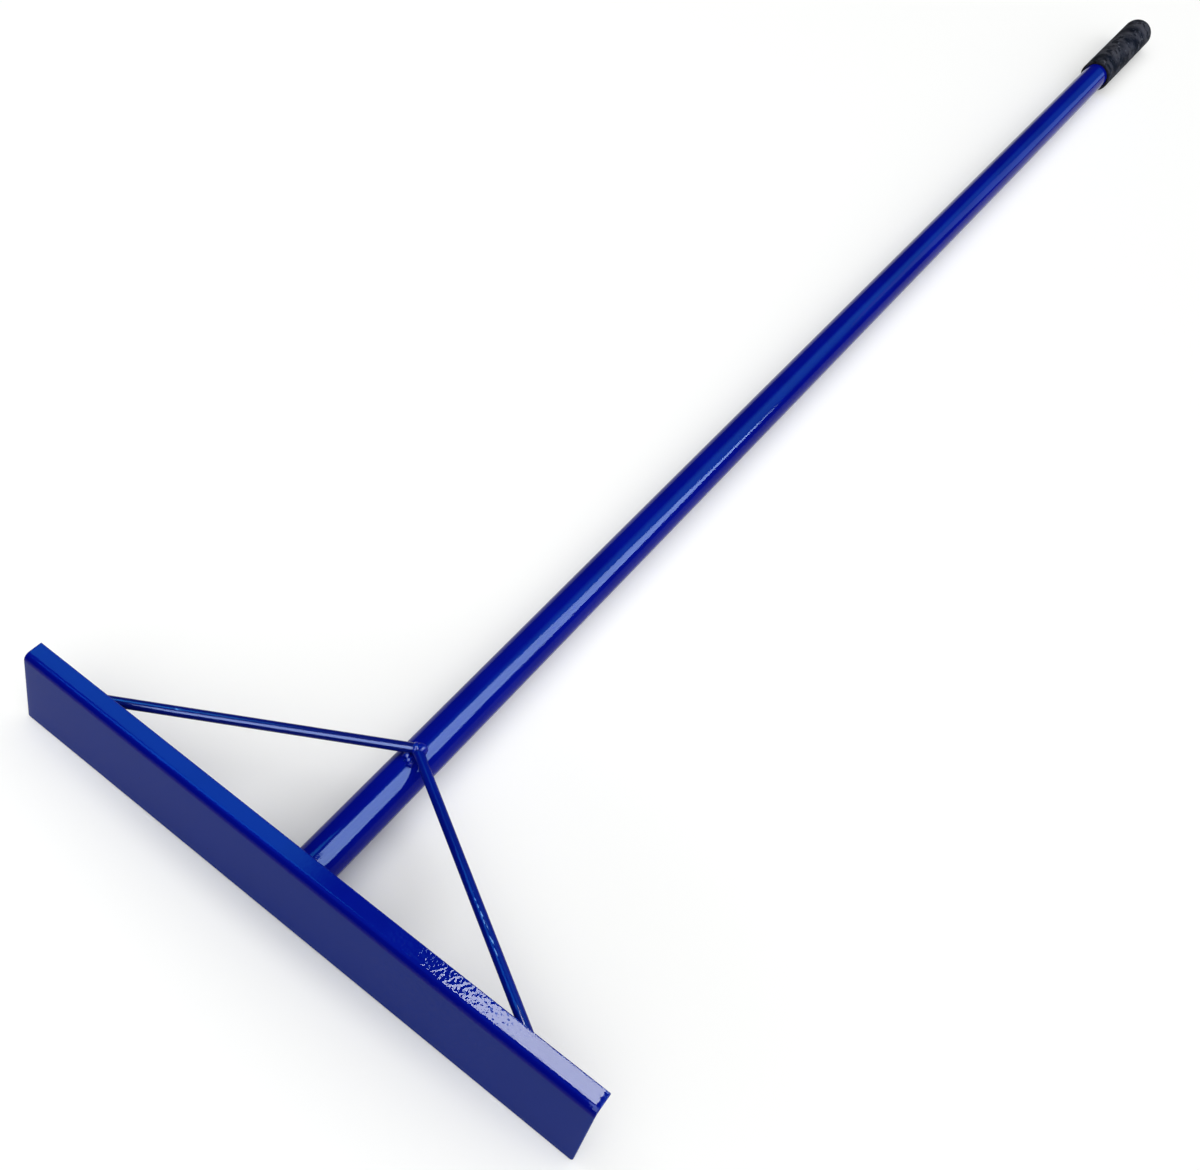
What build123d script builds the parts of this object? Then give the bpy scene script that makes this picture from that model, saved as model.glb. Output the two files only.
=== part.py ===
from build123d import *
from math import atan2, cos, degrees, hypot, radians, sin, sqrt, tan
import os

# Concrete spreader: a folded steel blade on a braced tube handle with a rubber grip.
# It lies on the ground on the blade's lower edge and the grip, with the handle level along +Y.
# X runs along the blade. The origin is below the middle of the tool, at ground level.

# Overall
overall_length = 1685.0

# Blade: a leaning face and a level flange, folded from one sheet
blade_width = 500.0
face_height = 63.5
flange_depth = 15.0
sheet = 3.0
fold_inner_radius = 3.0
face_lean = 12.5
lower_corner_radius = 2.0
sheet_edge_bevel = 0.4

# Handle tube
tube_diameter = 32.0
tube_wall = 2.0

# Hand grip: a rubber sleeve with a closed end
grip_length = 170.0
grip_wall = 3.5
grip_end_wall = 6.0
grip_end_radius = 2.5
grip_mouth_bevel = 0.8
grip_fit = 0.1

# Braces: round bars from the top of the tube to the back of the face
bar_diameter = 8.0
bar_tip_flat = 2.0
brace_reach = 135.0
brace_foot_inset = 35.0
brace_foot_clearance = 1.0
left_brace_overrun = 7.7

# Weld beads under the bars, as rows of tapering ripples, and a weld cap over the bars' joint
seam_gap = 0.1
ripple_fall = 0.7
ripple_overlap = 1.4
seat_bead_pitch = 3.4
front_bead_radius = 3.6
front_bead_offset = 2.2
front_bead_start = -1.0
front_bead_end = 9.5
rear_bead_radius = 2.8
rear_bead_start = -8.0
rear_bead_end = 6.0
tip_cap_height = 0.7

# Weld collars round the ends of the tube and the bars, on the back of the face
handle_collar_leg = 4.0
foot_collar_leg = 3.0
collar_lip = 0.6
collar_start_height = 10.0

# Length that is drawn past a slanting cut and removed by it
cut_margin = 1.0

# Sizes that follow from those above
tube_radius = tube_diameter / 2
grip_radius = tube_radius + grip_fit + grip_wall
bar_radius = bar_diameter / 2
lean = radians(face_lean)
axis_height = grip_radius
front_y = -overall_length / 2
grip_end_y = overall_length / 2
heel_y = front_y + sheet * cos(lean)
toe_height = sheet * sin(lean)
fold_y = front_y + face_height * sin(lean)
flange_top = toe_height + face_height * cos(lean)
flange_bottom = flange_top - sheet
flange_rear_y = fold_y + flange_depth


def back_of_face(height):
    """Return the Y of the back of the face at a height above the ground."""
    return heel_y + height * tan(lean)


def on_tube(x, y):
    """Return the point on the upper half of the tube at X and Y."""
    return Vector(x, y, axis_height + sqrt(tube_radius**2 - x**2))


# The back of the face, seen from behind: local Y runs up the face
back_plane = Plane(origin=(0, heel_y, 0), x_dir=(-1, 0, 0), z_dir=(0, cos(lean), -sin(lean)))

# The bars' centre lines cross over the top of the tube and end on the back of the face
crossing_y = back_of_face(axis_height) + brace_reach
crossing = Vector(0, crossing_y, axis_height + tube_radius + seam_gap + bar_radius)
foot_x = blade_width / 2 - brace_foot_inset
foot_height = flange_bottom - fold_inner_radius - brace_foot_clearance - foot_collar_leg - bar_radius
left_foot = Vector(-foot_x, back_of_face(foot_height), foot_height)
right_foot = Vector(foot_x, back_of_face(foot_height), foot_height)
left_run = (crossing - left_foot).normalized()
right_run = (crossing - right_foot).normalized()
left_tip = crossing + left_run * left_brace_overrun
foot_cosine = left_run.dot(back_plane.z_dir)
foot_slant = bar_radius * sqrt(1 - foot_cosine**2) / foot_cosine
bar_length = (left_tip - left_foot).length + foot_slant + cut_margin
left_bar_plane = Plane(origin=left_tip, z_dir=-left_run)
right_bar_plane = Plane(origin=crossing, z_dir=-right_run)

# The right bar is cut to lie against the side of the left bar
off_left_bar = (left_run * left_run.dot(right_run) - right_run).normalized()
right_cut = Plane(origin=crossing + off_left_bar * (bar_radius + seam_gap), z_dir=off_left_bar)

# The tube is drawn from its far end, inside the grip, towards the blade
tube_end_y = grip_end_y - grip_end_wall - seam_gap
tube_end = Plane(origin=(0, tube_end_y, axis_height), x_dir=(1, 0, 0), z_dir=(0, -1, 0))
tube_run = tube_end_y - front_y


def ripples(seam, pitch):
    """Return places about one pitch apart along a seam, each facing along it, with none at its end."""
    count = round(seam.edge().length / pitch)
    return seam.edge().distribute_locations(count + 1)[:-1]


# A ripple starts at its place on the seam and runs forward from there
forward = (Align.CENTER, Align.CENTER, Align.MIN)

os.makedirs("parts", exist_ok=True)

# Blade
fold_outside = (fold_y, flange_top)
fold_inside = (back_of_face(flange_bottom), flange_bottom)
across_sheet = Axis((0, 0, 0), back_plane.z_dir)
with BuildPart() as blade:
    with BuildSketch(Plane.YZ) as blade_section:
        with BuildLine():
            Polyline(
                (front_y, toe_height),
                fold_outside,
                (flange_rear_y, flange_top),
                (flange_rear_y, flange_bottom),
                fold_inside,
                (heel_y, 0),
                close=True,
            )
        make_face()
        fillet(blade_section.vertices().sort_by_distance(fold_outside)[0], fold_inner_radius + sheet)
        fillet(blade_section.vertices().sort_by_distance(fold_inside)[0], fold_inner_radius)
    extrude(amount=blade_width / 2, both=True)
    fillet(blade.edges().filter_by(across_sheet), lower_corner_radius)
    long_edges = blade.edges().filter_by(Axis.X)
    sheet_edges = long_edges.sort_by(Axis.Z)[:2] + long_edges.sort_by(Axis.Y)[-2:]
    for end_face in (blade.faces().sort_by(Axis.X)[0], blade.faces().sort_by(Axis.X)[-1]):
        sheet_edges += end_face.edges().filter_by(across_sheet, reverse=True)
    chamfer(sheet_edges, sheet_edge_bevel)
blade.part.label = "blade"
export_step(blade.part, "parts/blade.step")

# Handle tube, cut to the lean of the face
with BuildPart() as handle_tube:
    with BuildSketch(tube_end):
        Circle(tube_radius)
        Circle(tube_radius - tube_wall, mode=Mode.SUBTRACT)
    extrude(amount=tube_run)
    split(bisect_by=back_plane, keep=Keep.TOP)
handle_tube.part.label = "handle_tube"
export_step(handle_tube.part, "parts/handle_tube.step")

# Hand grip
grip_end = Plane(origin=(0, grip_end_y, axis_height), x_dir=(1, 0, 0), z_dir=(0, -1, 0))
with BuildPart() as hand_grip:
    with BuildSketch(grip_end):
        Circle(grip_radius)
    extrude(amount=grip_length)
    with BuildSketch(grip_end.offset(grip_end_wall)):
        Circle(tube_radius + grip_fit)
    extrude(amount=grip_length - grip_end_wall, mode=Mode.SUBTRACT)
    rims = hand_grip.edges().filter_by(GeomType.CIRCLE).group_by(Axis.Y)
    fillet(rims[-1], grip_end_radius)
    chamfer(rims[0].sort_by(SortBy.RADIUS)[-1], grip_mouth_bevel)
hand_grip.part.label = "hand_grip"
export_step(hand_grip.part, "parts/hand_grip.step")

# Left brace, which runs on past the crossing
with BuildPart() as left_brace:
    with BuildSketch(left_bar_plane):
        Circle(bar_radius)
    extrude(amount=bar_length)
    split(bisect_by=back_plane, keep=Keep.TOP)
    tip_edge = left_brace.edges().filter_by(GeomType.CIRCLE).sort_by_distance(left_tip)[0]
    fillet(tip_edge, (bar_diameter - bar_tip_flat) / 2)
left_brace.part.label = "left_brace"
export_step(left_brace.part, "parts/left_brace.step")

# Right brace, which stops at the side of the left one
with BuildPart() as right_brace:
    with BuildSketch(right_bar_plane):
        Circle(bar_radius)
    extrude(amount=bar_length)
    split(bisect_by=back_plane, keep=Keep.TOP)
    split(bisect_by=right_cut, keep=Keep.TOP)
right_brace.part.label = "right_brace"
export_step(right_brace.part, "parts/right_brace.step")

# Weld collars: a sloping bead round each slanting end, from the ground clearance upwards
tube_foot = Vector(0, back_of_face(axis_height), axis_height)
collars = (
    ("handle_weld", tube_foot, Vector(0, 1, 0), tube_radius, handle_collar_leg, tube_end, tube_run),
    ("left_foot_weld", left_foot, left_run, bar_radius, foot_collar_leg, left_bar_plane, bar_length),
    ("right_foot_weld", right_foot, right_run, bar_radius, foot_collar_leg, right_bar_plane, bar_length),
)
for name, foot, run, radius, leg, section, length in collars:
    middle = back_plane.to_local_coords(foot)
    squareness = run.dot(back_plane.z_dir)
    slope_x = run.dot(back_plane.x_dir) / squareness
    slope_y = run.dot(back_plane.y_dir) / squareness
    turn = degrees(atan2(slope_y, slope_x))
    with BuildPart() as collar:
        with BuildSketch(back_plane):
            with Locations((middle.X, middle.Y)):
                Ellipse(radius / squareness + leg, radius + leg, rotation=turn)
        with BuildSketch(back_plane.offset(leg)):
            with Locations((middle.X + leg * slope_x, middle.Y + leg * slope_y)):
                Ellipse(radius / squareness + collar_lip, radius + collar_lip, rotation=turn)
        loft(ruled=True)
        with BuildSketch(section):
            Circle(radius + seam_gap)
        extrude(amount=length, mode=Mode.SUBTRACT)
        split(bisect_by=Plane.XY.offset(collar_start_height), keep=Keep.TOP)
    collar.part.label = name
    export_step(collar.part, "parts/" + name + ".step")

# Seat welds: in the grooves between the bars and the top of the tube.
# The front one starts at the left bar and lies along the right one, the rear one follows the left bar.
plan_run = hypot(left_run.X, left_run.Y)
along_x = left_run.X / plan_run
along_y = left_run.Y / plan_run
front_line = bar_radius + front_bead_offset
front_corner_x = -front_line * along_y
front_corner_y = crossing_y - front_line * along_x
front_run = front_bead_end - front_bead_start
front_steps = [front_bead_start + front_run * i / 4 for i in range(5)]
front_row = [on_tube(front_corner_x + s * along_x, front_corner_y - s * along_y) for s in front_steps]
rear_side_x = -bar_radius * along_y
rear_side_y = crossing_y + bar_radius * along_x
rear_run = rear_bead_end - rear_bead_start
rear_steps = [rear_bead_start + rear_run * i / 4 for i in range(5)]
rear_row = [on_tube(rear_side_x + s * along_x, rear_side_y + s * along_y) for s in rear_steps]
seats = (("front", front_row, front_bead_radius), ("rear", rear_row, rear_bead_radius))
for place, row, bead_radius in seats:
    with BuildLine() as seat_seam:
        Spline(*row)
    with BuildPart() as seat_weld:
        with Locations(*ripples(seat_seam, seat_bead_pitch)):
            Cone(
                bead_radius,
                bead_radius - ripple_fall,
                seat_bead_pitch + ripple_overlap,
                align=forward,
            )
        with BuildSketch(tube_end):
            Circle(tube_radius + seam_gap)
        extrude(amount=tube_run, mode=Mode.SUBTRACT)
        for bar_plane in (left_bar_plane, right_bar_plane):
            with BuildSketch(bar_plane):
                Circle(bar_radius + seam_gap)
            extrude(amount=bar_length, mode=Mode.SUBTRACT)
    seat_weld.part.label = "seat_weld_" + place
    export_step(seat_weld.part, "parts/seat_weld_" + place + ".step")

# Tip weld: a rounded cap over the joint, where the right bar's end lies against the left bar
tip_middle = crossing + off_left_bar * (bar_radius / 2)
with BuildPart() as brace_tip_weld:
    with Locations(tip_middle):
        Sphere(bar_radius + tip_cap_height)
    with BuildPart(mode=Mode.SUBTRACT):
        with BuildSketch(left_bar_plane):
            Circle(bar_radius + seam_gap)
        extrude(amount=bar_length)
    with BuildPart(mode=Mode.SUBTRACT):
        with BuildSketch(right_bar_plane):
            Circle(bar_radius + seam_gap)
        extrude(amount=bar_length)
        split(bisect_by=right_cut.offset(-seam_gap), keep=Keep.TOP)
    split(bisect_by=Plane(crossing), keep=Keep.TOP)
brace_tip_weld.part.label = "brace_tip_weld"
export_step(brace_tip_weld.part, "parts/brace_tip_weld.step")
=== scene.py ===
"""Concrete spreader: weld metal, left bar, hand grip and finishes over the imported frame, on a pale floor.

All sizes are in metres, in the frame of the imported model: X along the blade, Y along the handle, Z up.
"""

import logging
import math
from dataclasses import dataclass, field
from enum import Enum
from functools import cached_property, partial
from typing import Any, Callable, Iterator, Mapping, Sequence

import bmesh
import bpy
from mathutils import Matrix, Vector, noise


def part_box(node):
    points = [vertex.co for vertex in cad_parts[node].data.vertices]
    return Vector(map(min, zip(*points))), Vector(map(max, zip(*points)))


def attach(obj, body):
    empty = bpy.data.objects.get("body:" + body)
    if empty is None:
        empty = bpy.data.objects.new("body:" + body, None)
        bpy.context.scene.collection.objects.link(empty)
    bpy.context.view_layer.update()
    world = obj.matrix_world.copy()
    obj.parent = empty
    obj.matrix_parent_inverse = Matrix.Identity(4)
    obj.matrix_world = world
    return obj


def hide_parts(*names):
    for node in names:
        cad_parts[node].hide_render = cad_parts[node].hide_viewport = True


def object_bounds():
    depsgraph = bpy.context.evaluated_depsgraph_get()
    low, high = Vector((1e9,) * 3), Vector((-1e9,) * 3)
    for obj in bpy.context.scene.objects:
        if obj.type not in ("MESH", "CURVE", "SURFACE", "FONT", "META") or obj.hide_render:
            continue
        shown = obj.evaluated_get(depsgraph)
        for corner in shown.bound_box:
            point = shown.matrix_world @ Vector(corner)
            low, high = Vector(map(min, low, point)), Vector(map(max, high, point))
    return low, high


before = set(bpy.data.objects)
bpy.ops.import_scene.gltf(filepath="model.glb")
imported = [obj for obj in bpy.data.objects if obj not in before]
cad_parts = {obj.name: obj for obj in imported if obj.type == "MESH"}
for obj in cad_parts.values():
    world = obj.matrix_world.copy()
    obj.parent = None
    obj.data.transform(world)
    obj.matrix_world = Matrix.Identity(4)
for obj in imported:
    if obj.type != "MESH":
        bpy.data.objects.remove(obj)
cad_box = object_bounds()

log = logging.getLogger("spreader")

Pair = tuple[float, float]
Triple = tuple[float, float, float]
Colour = tuple[float, float, float, float]
Socket = bpy.types.NodeSocket
Sockets = Mapping[str, Socket]

ROOT = "root"
UP = Vector((0.0, 0.0, 1.0))
WHITE: Colour = (1.0, 1.0, 1.0, 1.0)
BEVEL_SAMPLES = 6

# Kinds of the named sockets of the node groups, where they aren't plain numbers
SOCKET_KINDS = {
    "Vector": "Vector",
    "Crown": "Vector",
    "First": "Color",
    "Second": "Color",
    "Color": "Color",
    "Seam": "Geometry",
    "Bead": "Geometry",
    "Finish": "Material",
}


class Slot(Enum):
    """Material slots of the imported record."""

    PAINT = "blue_paint"
    WELD = "painted_weld"
    RUBBER = "grip_rubber"


class Side(Enum):
    """The two bars, by the sign of the X of their feet."""

    LEFT = -1
    RIGHT = 1


class Effect(Enum):
    """Surface effects that several finishes share."""

    ORANGE_PEEL = "orange_peel"
    TONE_DRIFT = "tone_drift"
    DUST_NIBS = "dust_nibs"
    SCUFF_LINES = "scuff_lines"
    EDGE_RUB = "edge_rub"


class Graph:
    """A node tree with short calls for adding and joining nodes."""

    def __init__(self, tree: bpy.types.NodeTree) -> None:
        """Keep the tree that the calls work on."""
        self.tree = tree

    def name_sockets(self, way: str, names: Sequence[str]) -> None:
        """Give a node group its named sockets.

        Args:
            way: INPUT or OUTPUT.
            names: Names of the sockets, in order.
        """
        for name in names:
            kind = "NodeSocket" + SOCKET_KINDS.get(name, "Float")
            self.tree.interface.new_socket(name, in_out=way, socket_type=kind)

    def add(self, kind: str, inputs: dict[Any, Any] | None = None, **settings: Any) -> bpy.types.Node:
        """Add a node and fill its inputs.

        Args:
            kind: Blender's name of the node type.
            inputs: Values or sockets, by input name or number.
            settings: Properties of the node itself.

        Returns:
            The new node.
        """
        node = self.tree.nodes.new(kind)
        for name, value in settings.items():
            setattr(node, name, value)
        for key, value in (inputs or {}).items():
            self.feed(node.inputs[key], value)
        return node

    def feed(self, socket: Socket, value: Any) -> None:
        """Join a socket to an input, or set the input's own value.

        Args:
            socket: The input to fill.
            value: An output socket of the same tree, or a constant.
        """
        if isinstance(value, bpy.types.NodeSocket):
            self.tree.links.new(value, socket)
        else:
            socket.default_value = value

    @cached_property
    def place(self) -> Socket:
        """Object coordinates of the surface."""
        return self.add("ShaderNodeTexCoord").outputs["Object"]

    def axes(self, vector: Socket) -> Sockets:
        """Return the X, Y and Z of a vector by name."""
        return self.add("ShaderNodeSeparateXYZ", {"Vector": vector}).outputs

    def mapped(self, vector: Socket, kind: str = "POINT", **changes: Any) -> Socket:
        """Return a vector that a Mapping node moved, turned or scaled."""
        inputs = {"Vector": vector, **changes}
        return self.add("ShaderNodeMapping", inputs, vector_type=kind).outputs["Vector"]

    def math(self, operation: str, *values: Any) -> Socket:
        """Return the result of one step of arithmetic on numbers or sockets."""
        return self.add("ShaderNodeMath", dict(enumerate(values)), operation=operation).outputs[0]

    def vector(self, operation: str, *values: Any) -> Sockets:
        """Return the Vector and the Value of one step of vector arithmetic."""
        return self.add("ShaderNodeVectorMath", dict(enumerate(values)), operation=operation).outputs

    def scaled(self, vector: Socket, amount: Socket) -> Socket:
        """Return a vector times a number."""
        return self.add("ShaderNodeVectorMath", {0: vector, "Scale": amount}, operation="SCALE").outputs[0]

    def ramp(self, value: Socket, low: Any, high: Any, bottom: Any = 0.0, top: Any = 1.0) -> Socket:
        """Turn a value into a smooth step.

        Args:
            value: The value to read.
            low: Where the step starts.
            high: Where the step ends.
            bottom: Result at and before the start.
            top: Result at and after the end.

        Returns:
            The stepped value.
        """
        inputs = {"Value": value, "From Min": low, "From Max": high, "To Min": bottom, "To Max": top}
        return self.add("ShaderNodeMapRange", inputs, interpolation_type="SMOOTHSTEP").outputs["Result"]

    def blend(self, factor: Any, first: Any, second: Any) -> Socket:
        """Return a colour between two colours."""
        return self.add("ShaderNodeMix", {0: factor, 6: first, 7: second}, data_type="RGBA").outputs[2]

    def noise(self, vector: Socket, scale: Any, detail: float = 2.0, rough: float = 0.5) -> Socket:
        """Return a noise value from 0 to 1 over a vector."""
        inputs = {"Vector": vector, "Scale": scale, "Detail": detail, "Roughness": rough}
        return self.add("ShaderNodeTexNoise", inputs).outputs["Fac"]

    def bump(self, height: Socket, **base: Socket) -> Socket:
        """Return the normal that a height in metres gives, over the base Normal if there is one."""
        inputs = {"Strength": 1.0, "Distance": 1.0, "Height": height, **base}
        return self.add("ShaderNodeBump", inputs).outputs["Normal"]

    def coat(self, inputs: dict[str, Any]) -> None:
        """Feed inputs, by name, of the shader that a new material starts with."""
        for name, value in inputs.items():
            self.feed(self.tree.nodes["Principled BSDF"].inputs[name], value)

    def show(self, shader: Socket) -> None:
        """Make a shader the surface, in place of the one that a new material starts with."""
        self.tree.nodes.remove(self.tree.nodes["Principled BSDF"])
        self.feed(self.tree.nodes["Material Output"].inputs["Surface"], shader)


Pattern = Callable[[Graph], Socket]
Tint = Callable[[Graph, Socket], Socket]
Recipe = tuple[Callable[[Graph, Sockets], dict[str, Socket]], tuple[str, ...], tuple[str, ...]]


def start_material(name: str) -> tuple[bpy.types.Material, Graph]:
    """Make a material with nodes.

    Args:
        name: Name of the material.

    Returns:
        The material and the graph of its nodes.
    """
    made = bpy.data.materials.new(name)
    made.use_nodes = True
    return made, Graph(made.node_tree)


class EffectGroups:
    """The shared shader node groups, each built when it is first placed."""

    PEEL_BROAD_SCALE = 0.31
    PEEL_BROAD_SHARE = 0.15
    DRIFT_BAND = (0.32, 0.68)
    SCUFF_BAND = (0.62, 0.72)
    SCUFF_PATCH_SCALE = 0.13
    SCUFF_PATCH_FADE = 0.08
    RUB_TURN = (0.99, 0.9)
    RUB_BREAKS = (0.45, 0.62)

    def __init__(self) -> None:
        """Start with no group built, and note each effect's maker, inputs and outputs."""
        self.built: dict[Effect, bpy.types.NodeTree] = {}
        self.recipes: dict[Effect, Recipe] = {
            Effect.ORANGE_PEEL: (self.orange_peel, ("Vector", "Scale", "Depth"), ("Height",)),
            Effect.TONE_DRIFT: (self.tone_drift, ("Vector", "Scale", "First", "Second"), ("Color", "Drift")),
            Effect.DUST_NIBS: (self.dust_nibs, ("Vector", "Scale", "Size", "Share"), ("Mask",)),
            Effect.SCUFF_LINES: (self.scuff_lines, ("Vector", "Scale", "Share"), ("Mask",)),
            Effect.EDGE_RUB: (self.edge_rub, ("Vector", "Scale", "Radius"), ("Mask",)),
        }

    def place(self, graph: Graph, effect: Effect, scale: float, **others: Any) -> Sockets:
        """Place an effect in a material.

        Args:
            graph: The material's graph.
            effect: The effect to place.
            scale: Scale of its pattern.
            others: Its other inputs by name. Its Vector is the Object coordinates if none is named.

        Returns:
            The effect's outputs by name.
        """
        if effect not in self.built:
            self.built[effect] = self.build(effect)
        inputs = {"Vector": graph.place, "Scale": scale, **others}
        return graph.add("ShaderNodeGroup", inputs, node_tree=self.built[effect]).outputs

    def build(self, effect: Effect) -> bpy.types.NodeTree:
        """Build one group with its named sockets.

        Args:
            effect: The effect to build.

        Returns:
            The finished node group.
        """
        maker, inputs, outputs = self.recipes[effect]
        graph = Graph(bpy.data.node_groups.new(effect.value, "ShaderNodeTree"))
        graph.name_sockets("INPUT", inputs)
        graph.name_sockets("OUTPUT", outputs)
        results = maker(graph, graph.add("NodeGroupInput").outputs)
        graph.add("NodeGroupOutput", results)
        return graph.tree

    def orange_peel(self, graph: Graph, given: Sockets) -> dict[str, Socket]:
        """Make the fine waviness of sprayed enamel, as a height in metres.

        Args:
            graph: The group's graph.
            given: The group's inputs.

        Returns:
            The group's outputs.
        """
        fine = graph.noise(given["Vector"], given["Scale"], detail=1.0, rough=0.4)
        broad_scale = graph.math("MULTIPLY", given["Scale"], self.PEEL_BROAD_SCALE)
        broad = graph.noise(given["Vector"], broad_scale, detail=1.0, rough=0.4)
        both = graph.math("MULTIPLY_ADD", broad, self.PEEL_BROAD_SHARE, fine)
        return {"Height": graph.math("MULTIPLY", both, given["Depth"])}

    def tone_drift(self, graph: Graph, given: Sockets) -> dict[str, Socket]:
        """Make a slow change of tone over a surface.

        Args:
            graph: The group's graph.
            given: The group's inputs.

        Returns:
            The group's outputs.
        """
        cloud = graph.noise(given["Vector"], given["Scale"], detail=4.0, rough=0.55)
        drift = graph.ramp(cloud, *self.DRIFT_BAND)
        return {"Color": graph.blend(drift, given["First"], given["Second"]), "Drift": drift}

    def dust_nibs(self, graph: Graph, given: Sockets) -> dict[str, Socket]:
        """Make sparse round specks.

        Args:
            graph: The group's graph.
            given: The group's inputs.

        Returns:
            The group's outputs.
        """
        inputs = {"Vector": given["Vector"], "Scale": given["Scale"]}
        cells = graph.add("ShaderNodeTexVoronoi", inputs).outputs
        spot = graph.ramp(cells["Distance"], 0.0, given["Size"], 1.0, 0.0)
        chance = graph.add("ShaderNodeSeparateColor", {"Color": cells["Color"]}).outputs["Red"]
        kept = graph.math("LESS_THAN", chance, given["Share"])
        return {"Mask": graph.math("MULTIPLY", spot, kept)}

    def scuff_lines(self, graph: Graph, given: Sockets) -> dict[str, Socket]:
        """Make thin rubbed lines, gathered in patches.

        Args:
            graph: The group's graph.
            given: The group's inputs.

        Returns:
            The group's outputs.
        """
        lines = graph.noise(given["Vector"], given["Scale"], detail=3.0, rough=0.6)
        patch_scale = graph.math("MULTIPLY", given["Scale"], self.SCUFF_PATCH_SCALE)
        patches = graph.noise(given["Vector"], patch_scale)
        least = graph.math("SUBTRACT", 1.0, given["Share"])
        thin = graph.ramp(lines, *self.SCUFF_BAND)
        gathered = graph.ramp(patches, least, graph.math("ADD", least, self.SCUFF_PATCH_FADE))
        return {"Mask": graph.math("MULTIPLY", thin, gathered)}

    def edge_rub(self, graph: Graph, given: Sockets) -> dict[str, Socket]:
        """Make broken wear along sharp edges.

        Args:
            graph: The group's graph.
            given: The group's inputs.

        Returns:
            The group's outputs.
        """
        rounded = graph.add("ShaderNodeBevel", {"Radius": given["Radius"]}, samples=BEVEL_SAMPLES)
        facing = graph.add("ShaderNodeNewGeometry").outputs["Normal"]
        turn = graph.vector("DOT_PRODUCT", rounded.outputs["Normal"], facing)["Value"]
        breaks = graph.noise(given["Vector"], given["Scale"], detail=3.0, rough=0.6)
        edge = graph.ramp(turn, *self.RUB_TURN)
        return {"Mask": graph.math("MULTIPLY", edge, graph.ramp(breaks, *self.RUB_BREAKS))}


effects = EffectGroups()


@dataclass(frozen=True)
class GlossEnamel:
    """Sprayed gloss enamel over steel."""

    colour: Colour = (0.0012, 0.007, 0.25, 1.0)
    deep_colour: Colour = (0.0008, 0.005, 0.212, 1.0)
    rubbed_colour: Colour = (0.01, 0.05, 0.36, 1.0)
    speck_colour: Colour = (0.002, 0.004, 0.04, 1.0)
    scratch_colour: Colour = (0.16, 0.36, 0.74, 1.0)
    index: float = 1.15
    gloss: float = 0.022
    dull: float = 0.05
    rubbed_gloss: float = 0.35
    drift_scale: float = 14.0
    peel_scale: float = 560.0
    peel_depth: float = 0.00007
    speck_scale: float = 90.0
    speck_size: float = 0.09
    speck_share: float = 0.05
    speck_height: float = 0.00006
    scuff_scale: float = 160.0
    scuff_share: float = 0.34
    scuff_stretch: Triple = (1.0, 0.12, 1.0)
    edge_radius: float = 0.001
    edge_scale: float = 260.0

    def material(
        self,
        name: str,
        relief: Pattern | None = None,
        shade: Tint | None = None,
        scratch: Pattern | None = None,
    ) -> bpy.types.Material:
        """Make the finish as a material.

        Args:
            name: Name of the material.
            relief: Gives the surface's own height, in metres, in the material's graph.
            shade: Paints shade into the paint's tone over the surface, in the graph and from that tone.
            scratch: Gives a mask of scratches in the graph.

        Returns:
            The material.
        """
        made, graph = start_material(name)
        tones = {"First": self.colour, "Second": self.deep_colour}
        nibs = {"Size": self.speck_size, "Share": self.speck_share}
        lines = {"Vector": graph.mapped(graph.place, Scale=self.scuff_stretch), "Share": self.scuff_share}
        tone = effects.place(graph, Effect.TONE_DRIFT, self.drift_scale, **tones)
        peel = effects.place(graph, Effect.ORANGE_PEEL, self.peel_scale, Depth=self.peel_depth)
        specks = effects.place(graph, Effect.DUST_NIBS, self.speck_scale, **nibs)
        scuffs = effects.place(graph, Effect.SCUFF_LINES, self.scuff_scale, **lines)
        rub = effects.place(graph, Effect.EDGE_RUB, self.edge_scale, Radius=self.edge_radius)
        worn = graph.math("MAXIMUM", scuffs["Mask"], rub["Mask"])
        base = tone["Color"] if shade is None else shade(graph, tone["Color"])
        painted = graph.blend(worn, base, self.rubbed_colour)
        colour = graph.blend(specks["Mask"], painted, self.speck_colour)
        if scratch is not None:
            colour = graph.blend(scratch(graph), colour, self.scratch_colour)
        even = graph.ramp(tone["Drift"], 0.0, 1.0, self.gloss, self.dull)
        mix = {0: worn, 2: even, 3: self.rubbed_gloss}
        rough = graph.add("ShaderNodeMix", mix, data_type="FLOAT").outputs[0]
        height = graph.math("MULTIPLY_ADD", specks["Mask"], self.speck_height, peel["Height"])
        if relief is not None:
            height = graph.math("ADD", height, relief(graph))
        soft = graph.add("ShaderNodeBevel", {"Radius": self.edge_radius}, samples=BEVEL_SAMPLES)
        normal = graph.bump(height, Normal=soft.outputs["Normal"])
        graph.coat({"Base Color": colour, "Roughness": rough, "Normal": normal, "IOR": self.index})
        return made


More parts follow.
